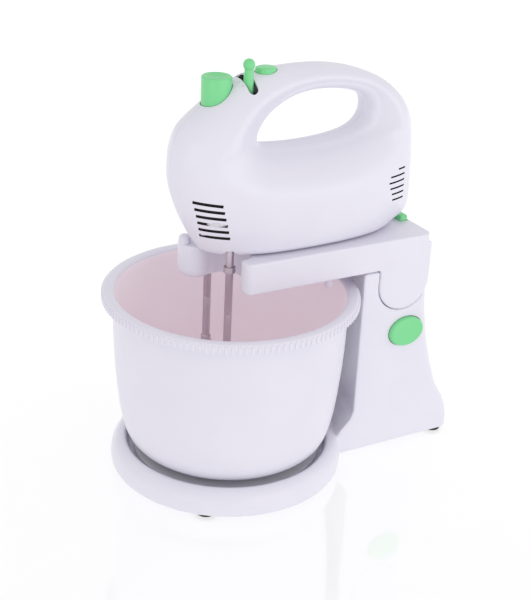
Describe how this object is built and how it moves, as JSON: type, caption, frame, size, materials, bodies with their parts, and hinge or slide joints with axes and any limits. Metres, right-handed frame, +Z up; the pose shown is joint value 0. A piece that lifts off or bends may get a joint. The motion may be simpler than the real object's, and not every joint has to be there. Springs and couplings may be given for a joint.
{
  "type": "stand mixer",
  "caption": "Hand mixer docked on a tilting arm with two beaters over a rib-rimmed bowl that turns on a round base.",
  "frame": {"origin": "on the floor, at the middle of the footprint", "axes": "+Z up, +X towards the column at the back, the nose of the mixer towards -X"},
  "size_m": [0.3161, 0.216, 0.3593],
  "materials": {
    "white_shell": "glossy moulded ABS",
    "bowl_plastic": "translucent white polypropylene, satin",
    "green_plastic": "glossy mint green",
    "inner_plastic": "moulded, matt",
    "rubber": "matt black",
    "steel": "zinc plated",
    "beater_steel": "bright drawn wire",
    "nylon_gear": "natural nylon",
    "bronze": "sintered",
    "laminated_steel": "stacked sheet",
    "copper_wire": "enamelled winding",
    "black_plastic": "moulded, matt"
  },
  "bodies": {
    "stand": {"base_dish": "white_shell", "column_shell": "white_shell", "base_plate": "inner_plastic", "base_screws": "steel", "feet": "rubber", "turntable_pivot": "steel", "turntable_glides": "inner_plastic", "hinge_pin": "steel", "latch_guide": "inner_plastic"},
    "turntable": {"turntable": "inner_plastic"},
    "bowl": {"bowl": "bowl_plastic", "rim_gear": "bowl_plastic"},
    "tilt_button": {"tilt_button": "green_plastic", "latch_bar": "inner_plastic", "latch_spring": "steel"},
    "arm": {"arm_shell": "white_shell", "arm_deck": "white_shell", "arm_screws": "steel", "nose_post": "white_shell", "bowl_stop": "white_shell", "pinion_bush": "bronze", "drive_belt": "rubber"},
    "drive_pulley": {"drive_pulley": "nylon_gear"},
    "pinion": {"pinion": "nylon_gear"},
    "release_button": {"release_button": "green_plastic"},
    "mixer": {"mixer_shell_left": "white_shell", "mixer_shell_right": "white_shell", "mixer_screws": "steel", "cord_grommet": "rubber", "stator": "laminated_steel", "field_coils": "copper_wire", "shaft_bearings": "bronze", "bearing_brackets": "inner_plastic", "brush_holders": "bronze", "gearbox_frame": "inner_plastic", "gearbox_cover": "inner_plastic", "speed_switch": "black_plastic"},
    "rotor": {"rotor_shaft": "steel", "rotor_core": "laminated_steel", "rotor_windings": "copper_wire", "commutator": "bronze", "fan": "black_plastic"},
    "spindle_left": {"worm_wheel_left": "nylon_gear"},
    "spindle_right": {"worm_wheel_right": "nylon_gear"},
    "beater_left": {"beater_left": "beater_steel"},
    "beater_right": {"beater_right": "beater_steel"},
    "eject_button": {"eject_button": "green_plastic", "eject_yoke": "inner_plastic", "eject_spring": "steel"},
    "speed_lever": {"speed_lever": "green_plastic"},
    "turbo_button": {"turbo_button": "green_plastic"}
  },
  "joints": [
    {"name": "turntable_spin", "type": "hinge", "parent": "stand", "child": "turntable", "pos_m": [-0.05, 0, 0.015], "axis": [0, 0, 1], "continuous": true},
    {"name": "bowl_lift", "type": "slide", "parent": "turntable", "child": "bowl", "axis": [0, 0, 1], "range_m": [0, 0.01]},
    {"name": "tilt_button_press", "type": "slide", "parent": "stand", "child": "tilt_button", "axis": [0, 1, 0], "range_m": [0, 0.003], "stiffness_N_per_m": 400, "springref_m": -0.004},
    {"name": "arm_tilt", "type": "hinge", "parent": "stand", "child": "arm", "pos_m": [0.095, 0, 0.1615], "axis": [0, 1, 0], "range_deg": [0, 38]},
    {"name": "pulley_spin", "type": "hinge", "parent": "arm", "child": "drive_pulley", "pos_m": [-0.063, 0.019, 0.185], "axis": [0, 0, 1], "continuous": true},
    {"name": "pinion_spin", "type": "hinge", "parent": "arm", "child": "pinion", "pos_m": [0.06726, 0, 0.16], "axis": [0, 0, 1], "continuous": true},
    {"name": "release_press", "type": "slide", "parent": "arm", "child": "release_button", "axis": [0, 0, -1], "range_m": [0, 0.003], "stiffness_N_per_m": 400, "springref_m": -0.003},
    {"name": "mixer_lift", "type": "slide", "parent": "arm", "child": "mixer", "axis": [0, 0, 1], "range_m": [0, 0.045]},
    {"name": "motor_spin", "type": "hinge", "parent": "mixer", "child": "rotor", "pos_m": [0, 0, 0.248], "axis": [1, 0, 0], "continuous": true},
    {"name": "spindle_left_spin", "type": "hinge", "parent": "mixer", "child": "spindle_left", "pos_m": [-0.063, 0.019, 0.248], "axis": [0, 0, 1], "continuous": true},
    {"name": "spindle_right_spin", "type": "hinge", "parent": "mixer", "child": "spindle_right", "pos_m": [-0.063, -0.019, 0.248], "axis": [0, 0, 1], "continuous": true},
    {"name": "eject_press", "type": "slide", "parent": "mixer", "child": "eject_button", "axis": [0, 0, -1], "range_m": [0, 0.006], "stiffness_N_per_m": 500, "springref_m": -0.004, "deforming": ["eject_spring"]},
    {"name": "beater_left_eject", "type": "slide", "parent": "spindle_left", "child": "beater_left", "axis": [0, 0, -1], "range_m": [0, 0.006]},
    {"name": "beater_right_eject", "type": "slide", "parent": "spindle_right", "child": "beater_right", "axis": [0, 0, -1], "range_m": [0, 0.006]},
    {"name": "speed_slide", "type": "slide", "parent": "mixer", "child": "speed_lever", "axis": [0, 1, 0], "range_m": [0, 0.018]},
    {"name": "turbo_press", "type": "slide", "parent": "mixer", "child": "turbo_button", "axis": [0, 0, -1], "range_m": [0, 0.002], "stiffness_N_per_m": 400, "springref_m": -0.003}
  ],
  "couplings": [
    {"joint": "spindle_left_spin", "follows": "motor_spin", "ratio": 0.076923},
    {"joint": "spindle_right_spin", "follows": "motor_spin", "ratio": -0.076923},
    {"joint": "pulley_spin", "follows": "motor_spin", "ratio": 0.076923},
    {"joint": "pinion_spin", "follows": "motor_spin", "ratio": 0.046154},
    {"joint": "turntable_spin", "follows": "motor_spin", "ratio": -0.0041958},
    {"joint": "beater_left_eject", "follows": "eject_press", "ratio": 1},
    {"joint": "beater_right_eject", "follows": "eject_press", "ratio": 1}
  ]
}
